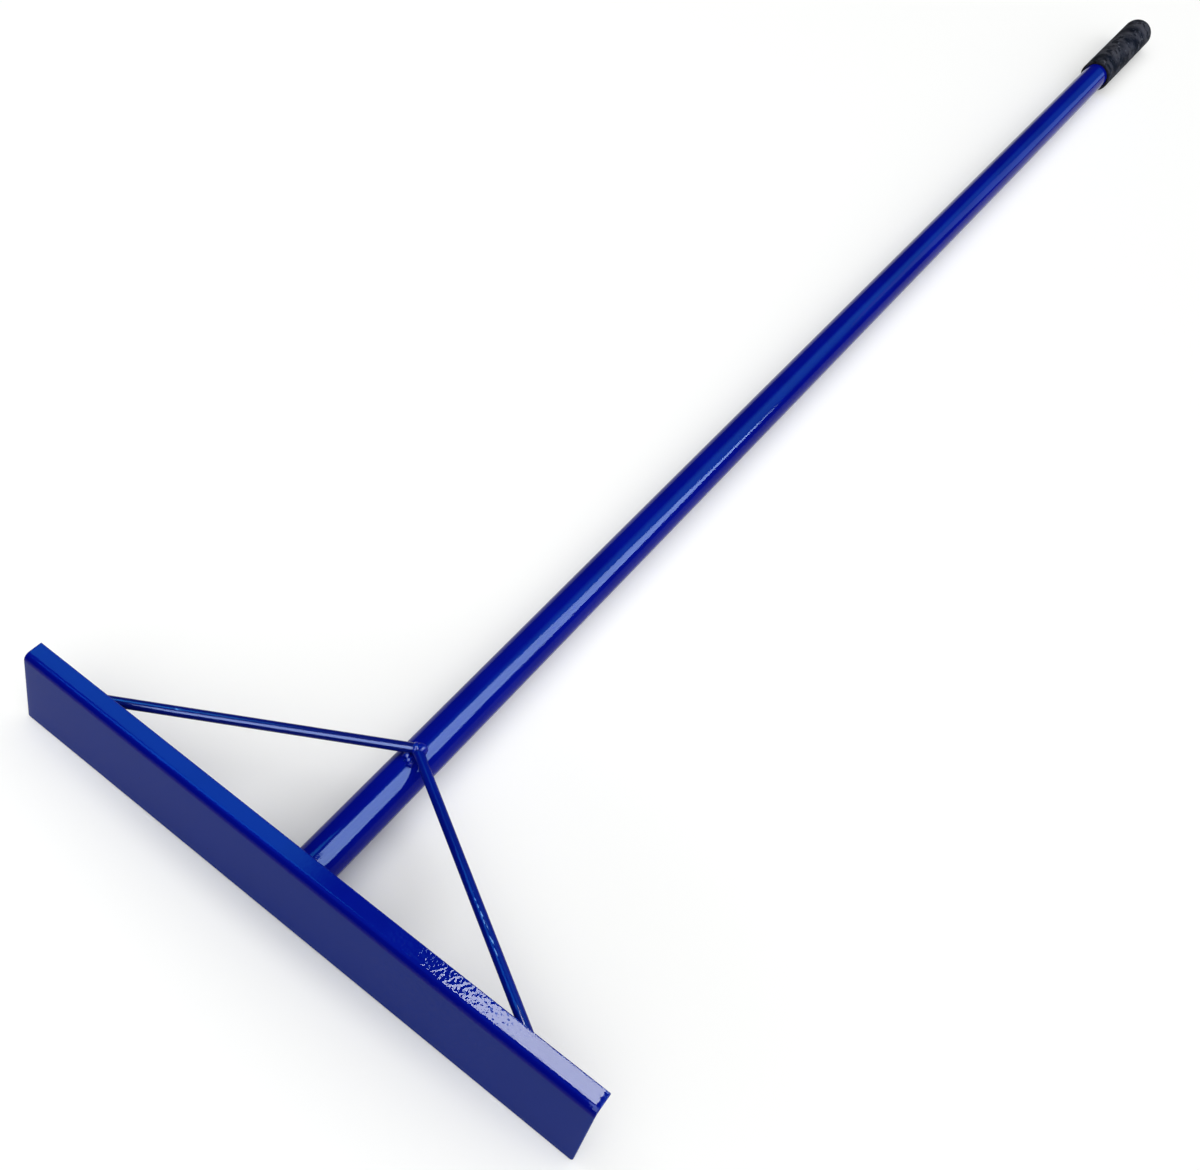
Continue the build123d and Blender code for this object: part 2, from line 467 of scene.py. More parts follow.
@dataclass(frozen=True)
class GripRubber:
    """Dull black rubber with smudges, dark patches and fine grain."""

    colour: Colour = (0.048, 0.046, 0.051, 1.0)
    dark_colour: Colour = (0.002, 0.002, 0.003, 1.0)
    pale_colour: Colour = (0.11, 0.11, 0.125, 1.0)
    patch_scale: float = 48.0
    blot_scale: float = 95.0
    blot_band: Pair = (0.53, 0.6)
    blot_share: float = 0.85
    smudge_scale: float = 150.0
    smudge_band: Pair = (0.56, 0.7)
    smudge_share: float = 0.7
    index: float = 1.04
    grain_scale: float = 1800.0
    grain_depth: float = 0.00006
    gloss: float = 0.55
    dull: float = 0.85

    def material(self, name: str) -> bpy.types.Material:
        """Make the rubber as a material.

        Args:
            name: Name of the material.

        Returns:
            The material.
        """
        made, graph = start_material(name)
        tones = {"First": self.dark_colour, "Second": self.colour}
        tone = effects.place(graph, Effect.TONE_DRIFT, self.patch_scale, **tones)
        blots = graph.noise(graph.place, self.blot_scale, detail=3.0, rough=0.6)
        blot = graph.ramp(blots, *self.blot_band, 0.0, self.blot_share)
        smudges = graph.noise(graph.place, self.smudge_scale, detail=5.0, rough=0.65)
        smudge = graph.ramp(smudges, *self.smudge_band, 0.0, self.smudge_share)
        blotted = graph.blend(blot, tone["Color"], self.dark_colour)
        colour = graph.blend(smudge, blotted, self.pale_colour)
        rough = graph.ramp(smudge, 0.0, self.smudge_share, self.gloss, self.dull)
        grain = effects.place(graph, Effect.ORANGE_PEEL, self.grain_scale, Depth=self.grain_depth)
        normal = graph.bump(grain["Height"])
        graph.coat({"Base Color": colour, "Roughness": rough, "Normal": normal, "IOR": self.index})
        return made


def link_piece(name: str, mesh: bpy.types.Mesh) -> bpy.types.Object:
    """Put a mesh into the scene as a piece at the origin.

    Args:
        name: Name of the piece.
        mesh: Its mesh, already in place.

    Returns:
        The piece.
    """
    mesh.name = name
    piece = bpy.data.objects.new(name, mesh)
    bpy.context.scene.collection.objects.link(piece)
    return piece


def stand_for(node: str, slot: Slot, name: str, mesh: bpy.types.Mesh) -> None:
    """Put a mesh into the scene as a piece that rides on the tool in place of a node of the frame.

    Args:
        node: The node that it stands for.
        slot: The record's slot of its finish; not used.
        name: Name of the piece.
        mesh: Its finished mesh, already in place.
    """
    piece = link_piece(name, mesh)
    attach(piece, ROOT)
    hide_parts(node)
    log.info("%s: %d faces", name, len(mesh.polygons))


def dress(node: str, material: bpy.types.Material) -> None:
    """Give a node of the frame its finish.

    Args:
        node: The node to dress.
        material: Its finish.
    """
    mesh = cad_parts[node].data
    mesh.materials.clear()
    mesh.materials.append(material)
    log.info("%s: dressed with %s", node, material.name)


def spokes(side: Vector, over: Vector, count: int) -> list[Vector]:
    """Return even directions round a line, which start at one that is square to it and go over another."""
    angles = [math.tau * i / count for i in range(count)]
    return [side * math.cos(angle) + over * math.sin(angle) for angle in angles]


def turned(
    name: str,
    start: Vector,
    run: Vector,
    outline: Sequence[Pair],
    sides: int,
    wear: Callable[[Vector, float], float],
) -> bpy.types.Mesh:
    """Turn an outline round a line into a closed, smooth mesh.

    Args:
        name: Name of the mesh.
        start: Where the line starts.
        run: Direction of the line.
        outline: Pairs of distance along the line and radius, with a radius of zero at both ends.
        sides: Number of points round the line.
        wear: Gives the change of the radius from a point of the plain shape and its radius.

    Returns:
        The mesh.
    """
    side = run.orthogonal().normalized()
    directions = spokes(side, run.cross(side), sides)
    shell = bmesh.new()
    rings: list[list[bmesh.types.BMVert]] = []
    for along, radius in outline:
        middle = start + run * along
        if radius == 0.0:
            rings.append([shell.verts.new(middle)])
            continue
        reaches = [radius + wear(middle + spoke * radius, radius) for spoke in directions]
        rings.append([shell.verts.new(middle + spoke * reach) for spoke, reach in zip(directions, reaches)])
    for first, second in zip(rings, rings[1:]):
        for i in range(sides):
            corners = [first[i % len(first)], first[(i + 1) % len(first)]]
            corners += [second[(i + 1) % len(second)], second[i % len(second)]]
            shell.faces.new(dict.fromkeys(corners))
    bmesh.ops.recalc_face_normals(shell, faces=shell.faces)
    for face in shell.faces:
        face.smooth = True
    mesh = bpy.data.meshes.new(name)
    shell.to_mesh(mesh)
    shell.free()
    return mesh


@dataclass
class Spreader:
    """Lines of the tool that its pieces share, read from the frame and from its stock sizes."""

    face_lean: float = math.radians(12.5)
    sheet: float = 0.003
    bar_radius: float = 0.004
    bar_gap: float = 0.0001
    brace_reach: float = 0.135
    foot_inset: float = 0.035
    foot_drop: float = 0.014
    tube_radius: float = field(init=False)
    axis_height: float = field(init=False)
    half_width: float = field(init=False)
    blade_top: float = field(init=False)
    heel: float = field(init=False)
    crossing: Vector = field(init=False)
    feet: dict[Side, Vector] = field(init=False)
    runs: dict[Side, Vector] = field(init=False)

    def __post_init__(self) -> None:
        """Read the frame and work out where the bars run."""
        tube_low, tube_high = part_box("handle_tube")
        blade_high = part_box("blade")[1]
        self.tube_radius = (tube_high.x - tube_low.x) / 2
        self.axis_height = (tube_high.z + tube_low.z) / 2
        self.half_width = blade_high.x
        self.blade_top = blade_high.z
        half_length = cad_box[1][1]
        self.heel = -half_length + self.sheet * math.cos(self.face_lean)
        crossing_y = self.back_of_face(self.axis_height) + self.brace_reach
        top = self.axis_height + self.tube_radius + self.bar_gap + self.bar_radius
        self.crossing = Vector((0.0, crossing_y, top))
        foot_height = self.blade_top - self.foot_drop
        foot_x = self.half_width - self.foot_inset
        foot_y = self.back_of_face(foot_height)
        self.feet = {side: Vector((side.value * foot_x, foot_y, foot_height)) for side in Side}
        self.runs = {side: (self.crossing - foot).normalized() for side, foot in self.feet.items()}

    def back_of_face(self, height: float) -> float:
        """Return the Y of the back of the face at a height."""
        return self.heel + height * math.tan(self.face_lean)

    def on_tube(self, x: float, y: float) -> Vector:
        """Return the point on the upper half of the tube at X and Y."""
        return Vector((x, y, self.axis_height + math.sqrt(self.tube_radius**2 - x**2)))

    @property
    def back_normal(self) -> Vector:
        """Direction that the back of the face looks in."""
        return Vector((0.0, math.cos(self.face_lean), -math.sin(self.face_lean)))

    def bar_spokes(self, side: Side, reach: float, count: int) -> list[Vector]:
        """Give steps from a bar's centre line out to a reach, all round.

        Args:
            side: The bar.
            reach: Length of each step.
            count: Number of steps.

        Returns:
            The steps.
        """
        run = self.runs[side]
        level = run.cross(UP).normalized()
        return [spoke * reach for spoke in spokes(level, level.cross(run), count)]

    def at_foot(self, side: Side, spoke: Vector, gap: float) -> Vector:
        """Slide a point along a bar until it lies a gap behind the face.

        Args:
            side: The bar.
            spoke: Step from the bar's centre line to the point.
            gap: Distance from the back of the face.

        Returns:
            The point.
        """
        run, behind = self.runs[side], self.back_normal
        return self.feet[side] + spoke + run * ((gap - behind.dot(spoke)) / behind.dot(run))


class BeadTree:
    """Geometry Nodes tree that turns a seam into a rippled weld bead."""

    # Inputs that carry the fields of a bead with the same names
    FIELDS = ("Radius", "Pitch", "Fall", "Lean", "Grain", "Step", "Crown", "Seed")
    RING_SIDES = 20
    WANDER_SCALE = 190.0
    WANDER_SIZE = 0.5
    LEAST_SIZE = 0.75
    WANDER_DELAY = 0.8
    FALL_POWER = 1.4
    LEAST_END = 0.05
    GRAIN_SCALE = 850.0
    GRAIN_DETAIL = 3.0
    GRAIN_MIDDLE = 0.5

    def __init__(self) -> None:
        """Build the tree and note its inputs."""
        self.tree = bpy.data.node_groups.new("rippled_bead", "GeometryNodeTree")
        graph = Graph(self.tree)
        graph.name_sockets("INPUT", ("Seam", *self.FIELDS, "Closed", "Finish"))
        graph.name_sockets("OUTPUT", ("Bead",))
        items = self.tree.interface.items_tree
        self.identifiers = {item.name: item.identifier for item in items if item.in_out == "INPUT"}
        self.wire(graph)

    def wire(self, graph: Graph) -> None:
        """Join the nodes: resample, ring radius, tube, lean and grain, finish.

        Args:
            graph: The tree's graph.
        """
        given = graph.add("NodeGroupInput").outputs
        curve = graph.add("GeometryNodeMeshToCurve", {"Mesh": given["Seam"]}).outputs[0]
        steps = {"Curve": curve, "Length": given["Step"]}
        rings = graph.add("GeometryNodeResampleCurve", steps, mode="LENGTH").outputs[0]
        capture = graph.add("GeometryNodeCaptureAttribute", domain="POINT")
        capture.capture_items.new("VECTOR", "Middle")
        capture.capture_items.new("VECTOR", "Along")
        graph.feed(capture.inputs["Geometry"], rings)
        graph.feed(capture.inputs["Middle"], graph.add("GeometryNodeInputPosition").outputs[0])
        graph.feed(capture.inputs["Along"], graph.add("GeometryNodeInputTangent").outputs[0])
        kept = capture.outputs
        circle = {"Resolution": self.RING_SIDES, "Radius": 1.0}
        section = graph.add("GeometryNodeCurvePrimitiveCircle", circle).outputs["Curve"]
        sweep = {
            "Curve": kept["Geometry"],
            "Profile Curve": section,
            "Scale": self.ring_radius(graph, given),
            "Fill Caps": True,
        }
        bead = graph.add("GeometryNodeCurveToMesh", sweep).outputs[0]
        shift = {"Geometry": bead, "Offset": self.offset(graph, given, kept)}
        shaped = graph.add("GeometryNodeSetPosition", shift).outputs[0]
        smooth = graph.add("GeometryNodeSetShadeSmooth", {"Geometry": shaped}).outputs[0]
        real = graph.add("GeometryNodeRealizeInstances", {"Geometry": smooth}).outputs[0]
        coat = {"Geometry": real, "Material": given["Finish"]}
        graph.add("NodeGroupOutput", {"Bead": graph.add("GeometryNodeSetMaterial", coat).outputs[0]})

    def ring_radius(self, graph: Graph, given: Sockets) -> Socket:
        """Radius of each ring: a ripple that falls over one pitch, with rounded ends.

        Args:
            graph: The tree's graph.
            given: The tree's inputs.

        Returns:
            The radius.
        """
        length = graph.add("GeometryNodeSplineParameter").outputs["Length"]
        whole = graph.add("GeometryNodeSplineLength").outputs["Length"]
        place = graph.add("ShaderNodeCombineXYZ", {"X": length, "Y": given["Seed"]}).outputs[0]
        wander = graph.noise(place, self.WANDER_SCALE)
        uneven = graph.math("MULTIPLY_ADD", wander, self.WANDER_SIZE, self.LEAST_SIZE)
        pitches = graph.math("DIVIDE", length, given["Pitch"])
        phase = graph.math("FRACT", graph.math("MULTIPLY_ADD", wander, self.WANDER_DELAY, pitches))
        fallen = graph.math("MULTIPLY", given["Fall"], graph.math("POWER", phase, self.FALL_POWER))
        rippled = graph.math("SUBTRACT", graph.math("MULTIPLY", given["Radius"], uneven), fallen)
        near = graph.math("MINIMUM", length, graph.math("SUBTRACT", whole, length))
        inside = graph.math("MINIMUM", graph.math("DIVIDE", near, given["Radius"]), 1.0)
        rest = graph.math("SUBTRACT", 1.0, inside)
        cap = graph.math("SQRT", graph.math("SUBTRACT", 1.0, graph.math("MULTIPLY", rest, rest)))
        shut = graph.math("MAXIMUM", graph.math("MAXIMUM", cap, given["Closed"]), self.LEAST_END)
        return graph.math("MULTIPLY", rippled, shut)

    def offset(self, graph: Graph, given: Sockets, kept: Sockets) -> Socket:
        """Bend the rings into crescents and roughen them.

        Args:
            graph: The tree's graph.
            given: The tree's inputs.
            kept: The seam's middle and direction at each ring.

        Returns:
            The offset of each point.
        """
        position = graph.add("GeometryNodeInputPosition").outputs[0]
        outward = graph.vector("SUBTRACT", position, kept["Middle"])["Vector"]
        spoke = graph.vector("NORMALIZE", outward)["Vector"]
        up = graph.vector("DOT_PRODUCT", spoke, given["Crown"])["Value"]
        back = graph.math("MULTIPLY", graph.math("SUBTRACT", up, 1.0), given["Lean"])
        grain = graph.noise(position, self.GRAIN_SCALE, self.GRAIN_DETAIL)
        rise = graph.math("MULTIPLY", graph.math("SUBTRACT", grain, self.GRAIN_MIDDLE), given["Grain"])
        lean = graph.scaled(kept["Along"], back)
        return graph.vector("ADD", lean, graph.scaled(spoke, rise))["Vector"]


@dataclass
class WeldBead:
    """One bead along a seam, in place of a weld node of the frame."""

    node: str
    seam: Sequence[Vector]
    radius: float
    pitch: float
    crown: Vector
    seed: float
    closed: bool = False
    fall: float = 0.0007
    lean: float = 0.0012
    grain: float = 0.00025
    step: float = 0.0002

    def build(self, tree: BeadTree, finish: bpy.types.Material) -> None:
        """Make the bead's mesh with the tree and put it in the weld's place.

        Args:
            tree: The bead tree.
            finish: The bead's material.
        """
        count = len(self.seam)
        last = count if self.closed else count - 1
        line = bpy.data.meshes.new(self.node + "_seam")
        line.from_pydata(self.seam, [(i, (i + 1) % count) for i in range(last)], [])
        host = link_piece(self.node + "_seam", line)
        modifier = host.modifiers.new("bead", "NODES")
        modifier.node_group = tree.tree
        values = {name: getattr(self, name.lower()) for name in tree.FIELDS}
        values |= {"Closed": float(self.closed), "Finish": finish}
        for name, value in values.items():
            modifier[tree.identifiers[name]] = value
        bpy.context.view_layer.update()
        seen = host.evaluated_get(bpy.context.evaluated_depsgraph_get())
        mesh = bpy.data.meshes.new_from_object(seen)
        bpy.data.objects.remove(host)
        stand_for(self.node, Slot.WELD, "bead_" + self.node, mesh)


@dataclass
class Welds:
    """The weld beads of the tool, all with one enamel."""

    tool: Spreader
    front_radius: float = 0.0035
    front_pitch: float = 0.0038
    front_fall: float = 0.0024
    front_offset: float = 0.0038
    front_start: float = -0.0015
    front_end: float = 0.0112
    front_seed: float = 1.3
    rear_radius: float = 0.0026
    rear_pitch: float = 0.0024
    rear_start: float = -0.008
    rear_end: float = 0.0065
    rear_seed: float = 4.7
    collar_radius: float = 0.0031
    collar_pitch: float = 0.0026
    collar_start: float = 0.0105
    collar_seed: float = 11.9
    foot_radius: float = 0.0022
    foot_pitch: float = 0.0019
    foot_seeds: Pair = (15.1, 16.1)
    seam_points: int = 240

    def beads(self) -> Iterator[WeldBead]:
        """Give every bead that lies along a seam.

        Returns:
            The beads, one by one.
        """
        bar = self.tool.bar_radius
        behind = self.tool.back_normal
        seam = self.seat_seam(-1, bar + self.front_offset, self.front_start, self.front_end)
        sizes = (self.front_radius, self.front_pitch)
        yield WeldBead("seat_weld_front", seam, *sizes, UP, self.front_seed, fall=self.front_fall)
        seam = self.seat_seam(1, bar, self.rear_start, self.rear_end)
        yield WeldBead("seat_weld_rear", seam, self.rear_radius, self.rear_pitch, UP, self.rear_seed)
        seam = self.handle_seam()
        yield WeldBead("handle_weld", seam, self.collar_radius, self.collar_pitch, behind, self.collar_seed)
        for side, seed in zip(Side, self.foot_seeds):
            seam = self.foot_seam(side)
            name = side.name.lower() + "_foot_weld"
            yield WeldBead(name, seam, self.foot_radius, self.foot_pitch, behind, seed, closed=True)

    @staticmethod
    def stand_off(radius: float) -> float:
        """Return how far the middle of a bead stands off the corner that it fills."""
        return radius / 3

    def spread(self, start: float, end: float) -> list[float]:
        """Return even steps from one end of a seam to the other."""
        return [start + (end - start) * i / (self.seam_points - 1) for i in range(self.seam_points)]

    def seat_seam(self, way: int, offset: float, start: float, end: float) -> list[Vector]:
        """Give a seam on top of the tube, along the left bar or, mirrored, along the right one.

        Args:
            way: 1 for the rear of the left bar, -1 for the front of the right one.
            offset: Distance from the bar's centre line.
            start: Where the seam starts, from beside the bars' crossing.
            end: Where it ends.

        Returns:
            Points along the seam.
        """
        run = self.tool.runs[Side.LEFT]
        flat = math.hypot(run.x, run.y)
        along_x, along_y = run.x / flat, run.y / flat
        first_x = -offset * along_y
        first_y = self.tool.crossing.y + way * offset * along_x
        steps = self.spread(start, end)
        return [self.tool.on_tube(first_x + s * along_x, first_y + way * s * along_y) for s in steps]

    def handle_seam(self) -> list[Vector]:
        """Give the seam round the end of the tube, on the back of the face, from its two sides upwards.

        Returns:
            Points along the seam.
        """
        stand_off = self.stand_off(self.collar_radius)
        reach = self.tool.tube_radius + stand_off
        start = math.asin((self.collar_start - self.tool.axis_height) / reach)
        points = []
        for angle in self.spread(start, math.pi - start):
            height = self.tool.axis_height + reach * math.sin(angle)
            depth = self.tool.back_of_face(height) + stand_off
            points.append(Vector((reach * math.cos(angle), depth, height)))
        return points

    def foot_seam(self, side: Side) -> list[Vector]:
        """Give the closed seam round the foot of a bar, on the back of the face.

        Args:
            side: The bar.

        Returns:
            Points round the bar.
        """
        stand_off = self.stand_off(self.foot_radius)
        steps = self.tool.bar_spokes(side, self.tool.bar_radius + stand_off, self.seam_points)
        return [self.tool.at_foot(side, step, stand_off) for step in steps]

    def build(self, finish: bpy.types.Material) -> None:
        """Make every bead.

        Args:
            finish: The beads' material.
        """
        tree = BeadTree()
        for bead in self.beads():
            bead.build(tree, finish)


@dataclass
class TipKnob:
    """Weld metal over the left bar's end: a collar at the joint of the bars and a round knob past it."""

    tool: Spreader
    knob_radius: float = 0.0047
    knob_place: float = 0.0034
    collar_height: float = 0.0007
    collar_place: float = -0.001
    collar_half: float = 0.0017
    root_radius: float = 0.0039
    lump: float = 0.0004
    lump_scale: float = 330.0
    sides: int = 96
    rings: int = 28

    def outline(self) -> list[Pair]:
        """Give the knob's outline, from the collar's start to the knob's end.

        Returns:
            Pairs of distance past the crossing and radius.
        """
        pairs = [(self.collar_place - self.collar_half, 0.0)]
        for i in range(self.rings + 1):
            across = 2 * i / self.rings - 1
            crest = self.collar_height * math.sqrt(1 - across**2)
            pairs.append((self.collar_place + self.collar_half * across, self.root_radius + crest))
        begin = math.asin((self.collar_place + self.collar_half - self.knob_place) / self.knob_radius)
        for i in range(1, self.rings):
            angle = begin + (math.pi / 2 - begin) * i / self.rings
            along = self.knob_place + self.knob_radius * math.sin(angle)
            pairs.append((along, self.knob_radius * math.cos(angle)))
        return pairs + [(self.knob_place + self.knob_radius, 0.0)]

    def wear(self, point: Vector, radius: float) -> float:
        """Return the lump at a point, which fades towards the closed ends."""
        return self.lump * noise.noise(point * self.lump_scale) * min(1.0, radius / self.root_radius)

    def build(self, finish: bpy.types.Material) -> None:
        """Turn the knob and put it in the place of the joint's weld.

        Args:
            finish: The weld's material.
        """
        run = self.tool.runs[Side.LEFT]
        mesh = turned("tip_knob", self.tool.crossing, run, self.outline(), self.sides, self.wear)
        mesh.materials.append(finish)
        stand_for("brace_tip_weld", Slot.WELD, "tip_knob", mesh)


@dataclass
class LeftBar:
    """The left bar, cut to the back of the face at its foot and ending inside the knob."""

    tool: Spreader
    overrun: float = 0.0045
    gap: float = 0.0001
    edge: float = 0.0003
    sides: int = 96

    def build(self, finish: bpy.types.Material) -> None:
        """Make the bar, with a ring close to each end that keeps its shading even, and put it in place.

        Args:
            finish: The bar's material.
        """
        run = self.tool.runs[Side.LEFT]
        tip = self.tool.crossing + run * self.overrun
        rows = []
        for spoke in self.tool.bar_spokes(Side.LEFT, self.tool.bar_radius, self.sides):
            cut = self.tool.at_foot(Side.LEFT, spoke, self.gap)
            rows.append((cut, cut + run * self.edge, tip + spoke - run * self.edge, tip + spoke))
        points = [point for ring in zip(*rows) for point in ring]
        last = len(points) - self.sides
        faces = []
        for start in range(0, last, self.sides):
            for i in range(self.sides):
                near, beside = start + i, start + (i + 1) % self.sides
                faces.append((near, near + self.sides, beside + self.sides, beside))
        faces += [tuple(range(self.sides)), tuple(reversed(range(last, len(points))))]
        mesh = bpy.data.meshes.new("left_bar")
        mesh.from_pydata(points, [], faces)
        mesh.shade_smooth()
        mesh.materials.append(finish)
        stand_for("left_brace", Slot.PAINT, "left_bar", mesh)


@dataclass
class HandGrip:
    """Rubber sleeve over the free end of the tube, closed at its end."""

    tool: Spreader
    wall_end: float = 0.006
    end_radius: float = 0.0032
    end_rings: Pair = (0.35, 0.7)
    mouth_radius: float = 0.0012
    corner_steps: int = 10
    fit: float = 0.0001
    sides: int = 144
    ring_step: float = 0.002
    dent: float = 0.00022
    dent_scale: float = 55.0
    dent_bias: float = 0.6

    @property
    def bore(self) -> float:
        """Radius of the bore."""
        return self.tool.tube_radius + self.fit

    def profile(self, low: Vector, high: Vector) -> list[Pair]:
        """Outline of the sleeve from the middle of its end, over the outside, to the middle of its bore.

        Args:
            low: Lowest corner of the grip's box.
            high: Highest corner of the grip's box.

        Returns:
            Pairs of Y and radius.
        """
        outer = (high.x - low.x) / 2
        start = high.y - self.end_radius
        finish = low.y + self.mouth_radius
        angles = [math.pi / 2 * i / self.corner_steps for i in range(self.corner_steps + 1)]
        points = [(high.y, 0.0)] + [(high.y, outer * share) for share in self.end_rings]
        for angle in angles:
            back = high.y - self.end_radius * (1 - math.cos(angle))
            points.append((back, outer - self.end_radius * (1 - math.sin(angle))))
        count = round((start - finish) / self.ring_step)
        points += [(start + (finish - start) * i / count, outer) for i in range(1, count + 1)]
        for angle in angles[1:]:
            back = finish - self.mouth_radius * math.sin(angle)
            points.append((back, outer - self.mouth_radius * (1 - math.cos(angle))))
        floor = high.y - self.wall_end
        return points + [(low.y, self.bore), (floor, self.bore), (floor, 0.0)]

    def wear(self, point: Vector, radius: float) -> float:
        """Return the dent at a point of the outside, and none in the bore."""
        dent = self.dent * (noise.noise(point * self.dent_scale) - self.dent_bias)
        return dent if radius > self.bore + self.fit else 0.0

    def build(self, finish: bpy.types.Material) -> None:
        """Turn the sleeve, dent its outside a little and put it in the grip's place.

        Args:
            finish: The grip's material.
        """
        name = "hand_grip_sleeve"
        outline = self.profile(*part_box("hand_grip"))
        axis = Vector((0.0, 0.0, self.tool.axis_height))
        mesh = turned(name, axis, Vector((0.0, 1.0, 0.0)), outline, self.sides, self.wear)
        mesh.materials.append(finish)
        stand_for("hand_grip", Slot.RUBBER, name, mesh)


@dataclass
class SteelWork:
    """The painted blade, tube and bars. All but the left bar keep their shapes from the frame."""

    tool: Spreader
    blade_finish: GlossEnamel = GlossEnamel(
        colour=(0.0012, 0.007, 0.238, 1.0),
        deep_colour=(0.0008, 0.005, 0.205, 1.0),
        index=1.13,
        gloss=0.012,
        dull=0.03,
        peel_depth=0.00003,
        scuff_stretch=(0.1, 1.0, 1.0),
        scuff_share=0.26,
    )
    tube_finish: GlossEnamel = GlossEnamel(
        colour=(0.001, 0.0045, 0.22, 1.0),
        deep_colour=(0.0007, 0.003, 0.185, 1.0),
        peel_depth=0.000006,
        scuff_share=0.24,
    )
    # Painted shade: the left bar's enamel is a darker copy of the right bar's blue
    left_finish: GlossEnamel = GlossEnamel(
        colour=(0.001, 0.005, 0.135, 1.0),
        deep_colour=(0.0007, 0.0035, 0.105, 1.0),
        index=1.25,
        gloss=0.12,
        dull=0.17,
        peel_depth=0.00001,
        scuff_share=0.3,
        scuff_scale=240.0,
    )
    right_finish: GlossEnamel = GlossEnamel(
        colour=(0.001, 0.006, 0.2, 1.0),
        deep_colour=(0.0007, 0.004, 0.165, 1.0),
        peel_depth=0.00001,
        scuff_stretch=(0.5, 0.5, 1.0),
        scuff_share=0.45,
        scuff_scale=240.0,
    )
    # Painted shade on the blade: the face and the band over the bend get darker tones of the blue
    face_shade_colour: Colour = (0.0008, 0.019, 0.182, 1.0)
    face_share: float = 0.8
    bend_shade_colour: Colour = (0.0005, 0.002, 0.17, 1.0)
    bend_share: float = 0.9
    bend_radius: float = 0.006
    bend_fade: float = 0.0015
    crest_start: float = 0.0009
    crest_end: float = 0.0002
    end_roll: float = 0.0003
    end_roll_width: float = 0.0025
    spray_scale: float = 460.0
    spray_depth: float = 0.00014
    spray_stretch: Triple = (1.0, 0.9, 1.0)
    spray_run: tuple[float, float, float, float] = (0.06, 0.1, 0.165, 0.2)
    draw_scale: float = 900.0
    draw_depth: float = 0.00003
    draw_stretch: Triple = (1.0, 0.004, 1.0)
    scratch_scale: float = 950.0
    scratch_stretch: Triple = (0.22, 1.0, 1.0)
    scratch_breaks: Pair = (0.5, 0.6)
    scratch_fade: float = 0.003
    scratch_side: float = 0.0004
    scratch_width: float = 0.0008
    scratch_core: float = 0.4
    left_scratch: Pair = (0.079, 0.086)
    right_scratch: Pair = (0.083, 0.132)

    def sheet_relief(self, graph: Graph) -> Socket:
        """Height of the sheet: its two sheared ends, which the shears drew down, and a patch of dry spray.

        Args:
            graph: The material's graph.

        Returns:
            The height in metres.
        """
        across = graph.axes(graph.place)["X"]
        inside = graph.math("SUBTRACT", self.tool.half_width, graph.math("ABSOLUTE", across))
        rolled = graph.math("EXPONENT", graph.math("DIVIDE", inside, -self.end_roll_width))
        dots = graph.noise(graph.mapped(graph.place, Scale=self.spray_stretch), self.spray_scale, detail=0.0)
        begin, full, last, end = self.spray_run
        rise = graph.ramp(across, begin, full, 0.0, self.spray_depth)
        patch = graph.math("MULTIPLY", rise, graph.ramp(across, last, end, 1.0, 0.0))
        return graph.math("MULTIPLY_ADD", rolled, -self.end_roll, graph.math("MULTIPLY", dots, patch))

    def draw_lines(self, graph: Graph) -> Socket:
        """Height of the fine lines that drawing left along the tube.

        Args:
            graph: The material's graph.

        Returns:
            The height in metres.
        """
        along = graph.mapped(graph.place, Scale=self.draw_stretch)
        lines = graph.noise(along, self.draw_scale, detail=1.0, rough=0.4)
        return graph.math("MULTIPLY", lines, self.draw_depth)

    def painted_bend_shade(self, graph: Graph, tone: Socket) -> Socket:
        """Painted shade on the blade: a darker band over the bend, and a darker, greener face below it.

        Args:
            graph: The material's graph.
            tone: The paint's tone.

        Returns:
            The changed tone.
        """
        top = self.tool.blade_top
        low = top - self.bend_radius
        height = graph.axes(graph.place)["Z"]
        face = graph.ramp(height, low, low + self.bend_fade, self.face_share, 0.0)
        into = graph.ramp(height, low, low + self.bend_fade)
        out = graph.ramp(height, top - self.crest_start, top - self.crest_end, self.bend_share, 0.0)
        toned = graph.blend(face, tone, self.face_shade_colour)
        return graph.blend(graph.math("MULTIPLY", into, out), toned, self.bend_shade_colour)

    def bar_scratches(self, side: Side, stretch: Pair, graph: Graph) -> Socket:
        """Mask of the scratches along part of a bar.

        Args:
            side: The bar.
            stretch: Where they start and end, from the bar's foot.
            graph: The material's graph.

        Returns:
            The mask.
        """
        start, end = stretch
        turn = self.tool.runs[side].to_track_quat("X", "Z").to_euler()
        bar = graph.mapped(graph.place, "TEXTURE", Location=self.tool.feet[side], Rotation=turn)
        axes = graph.axes(bar)
        begin = graph.ramp(axes["X"], start, start + self.scratch_fade)
        finish = graph.ramp(axes["X"], end - self.scratch_fade, end, 1.0, 0.0)
        off = graph.math("ABSOLUTE", graph.math("SUBTRACT", axes["Y"], side.value * self.scratch_side))
        band = graph.ramp(off, self.scratch_width * self.scratch_core, self.scratch_width, 1.0, 0.0)
        lines = graph.noise(graph.mapped(bar, Scale=self.scratch_stretch), self.scratch_scale)
        broken = graph.ramp(lines, *self.scratch_breaks)
        length = graph.math("MULTIPLY", begin, finish)
        return graph.math("MULTIPLY", length, graph.math("MULTIPLY", band, broken))

    def build(self) -> None:
        """Dress the blade and the tube, make the left bar and dress the right one."""
        dress("blade", self.blade_finish.material("blade_enamel", self.sheet_relief, self.painted_bend_shade))
        dress("handle_tube", self.tube_finish.material("tube_enamel", self.draw_lines))
        scratch = partial(self.bar_scratches, Side.LEFT, self.left_scratch)
        LeftBar(self.tool).build(self.left_finish.material("left_bar_enamel", scratch=scratch))
        scratch = partial(self.bar_scratches, Side.RIGHT, self.right_scratch)
        dress("right_brace", self.right_finish.material("right_bar_enamel", scratch=scratch))


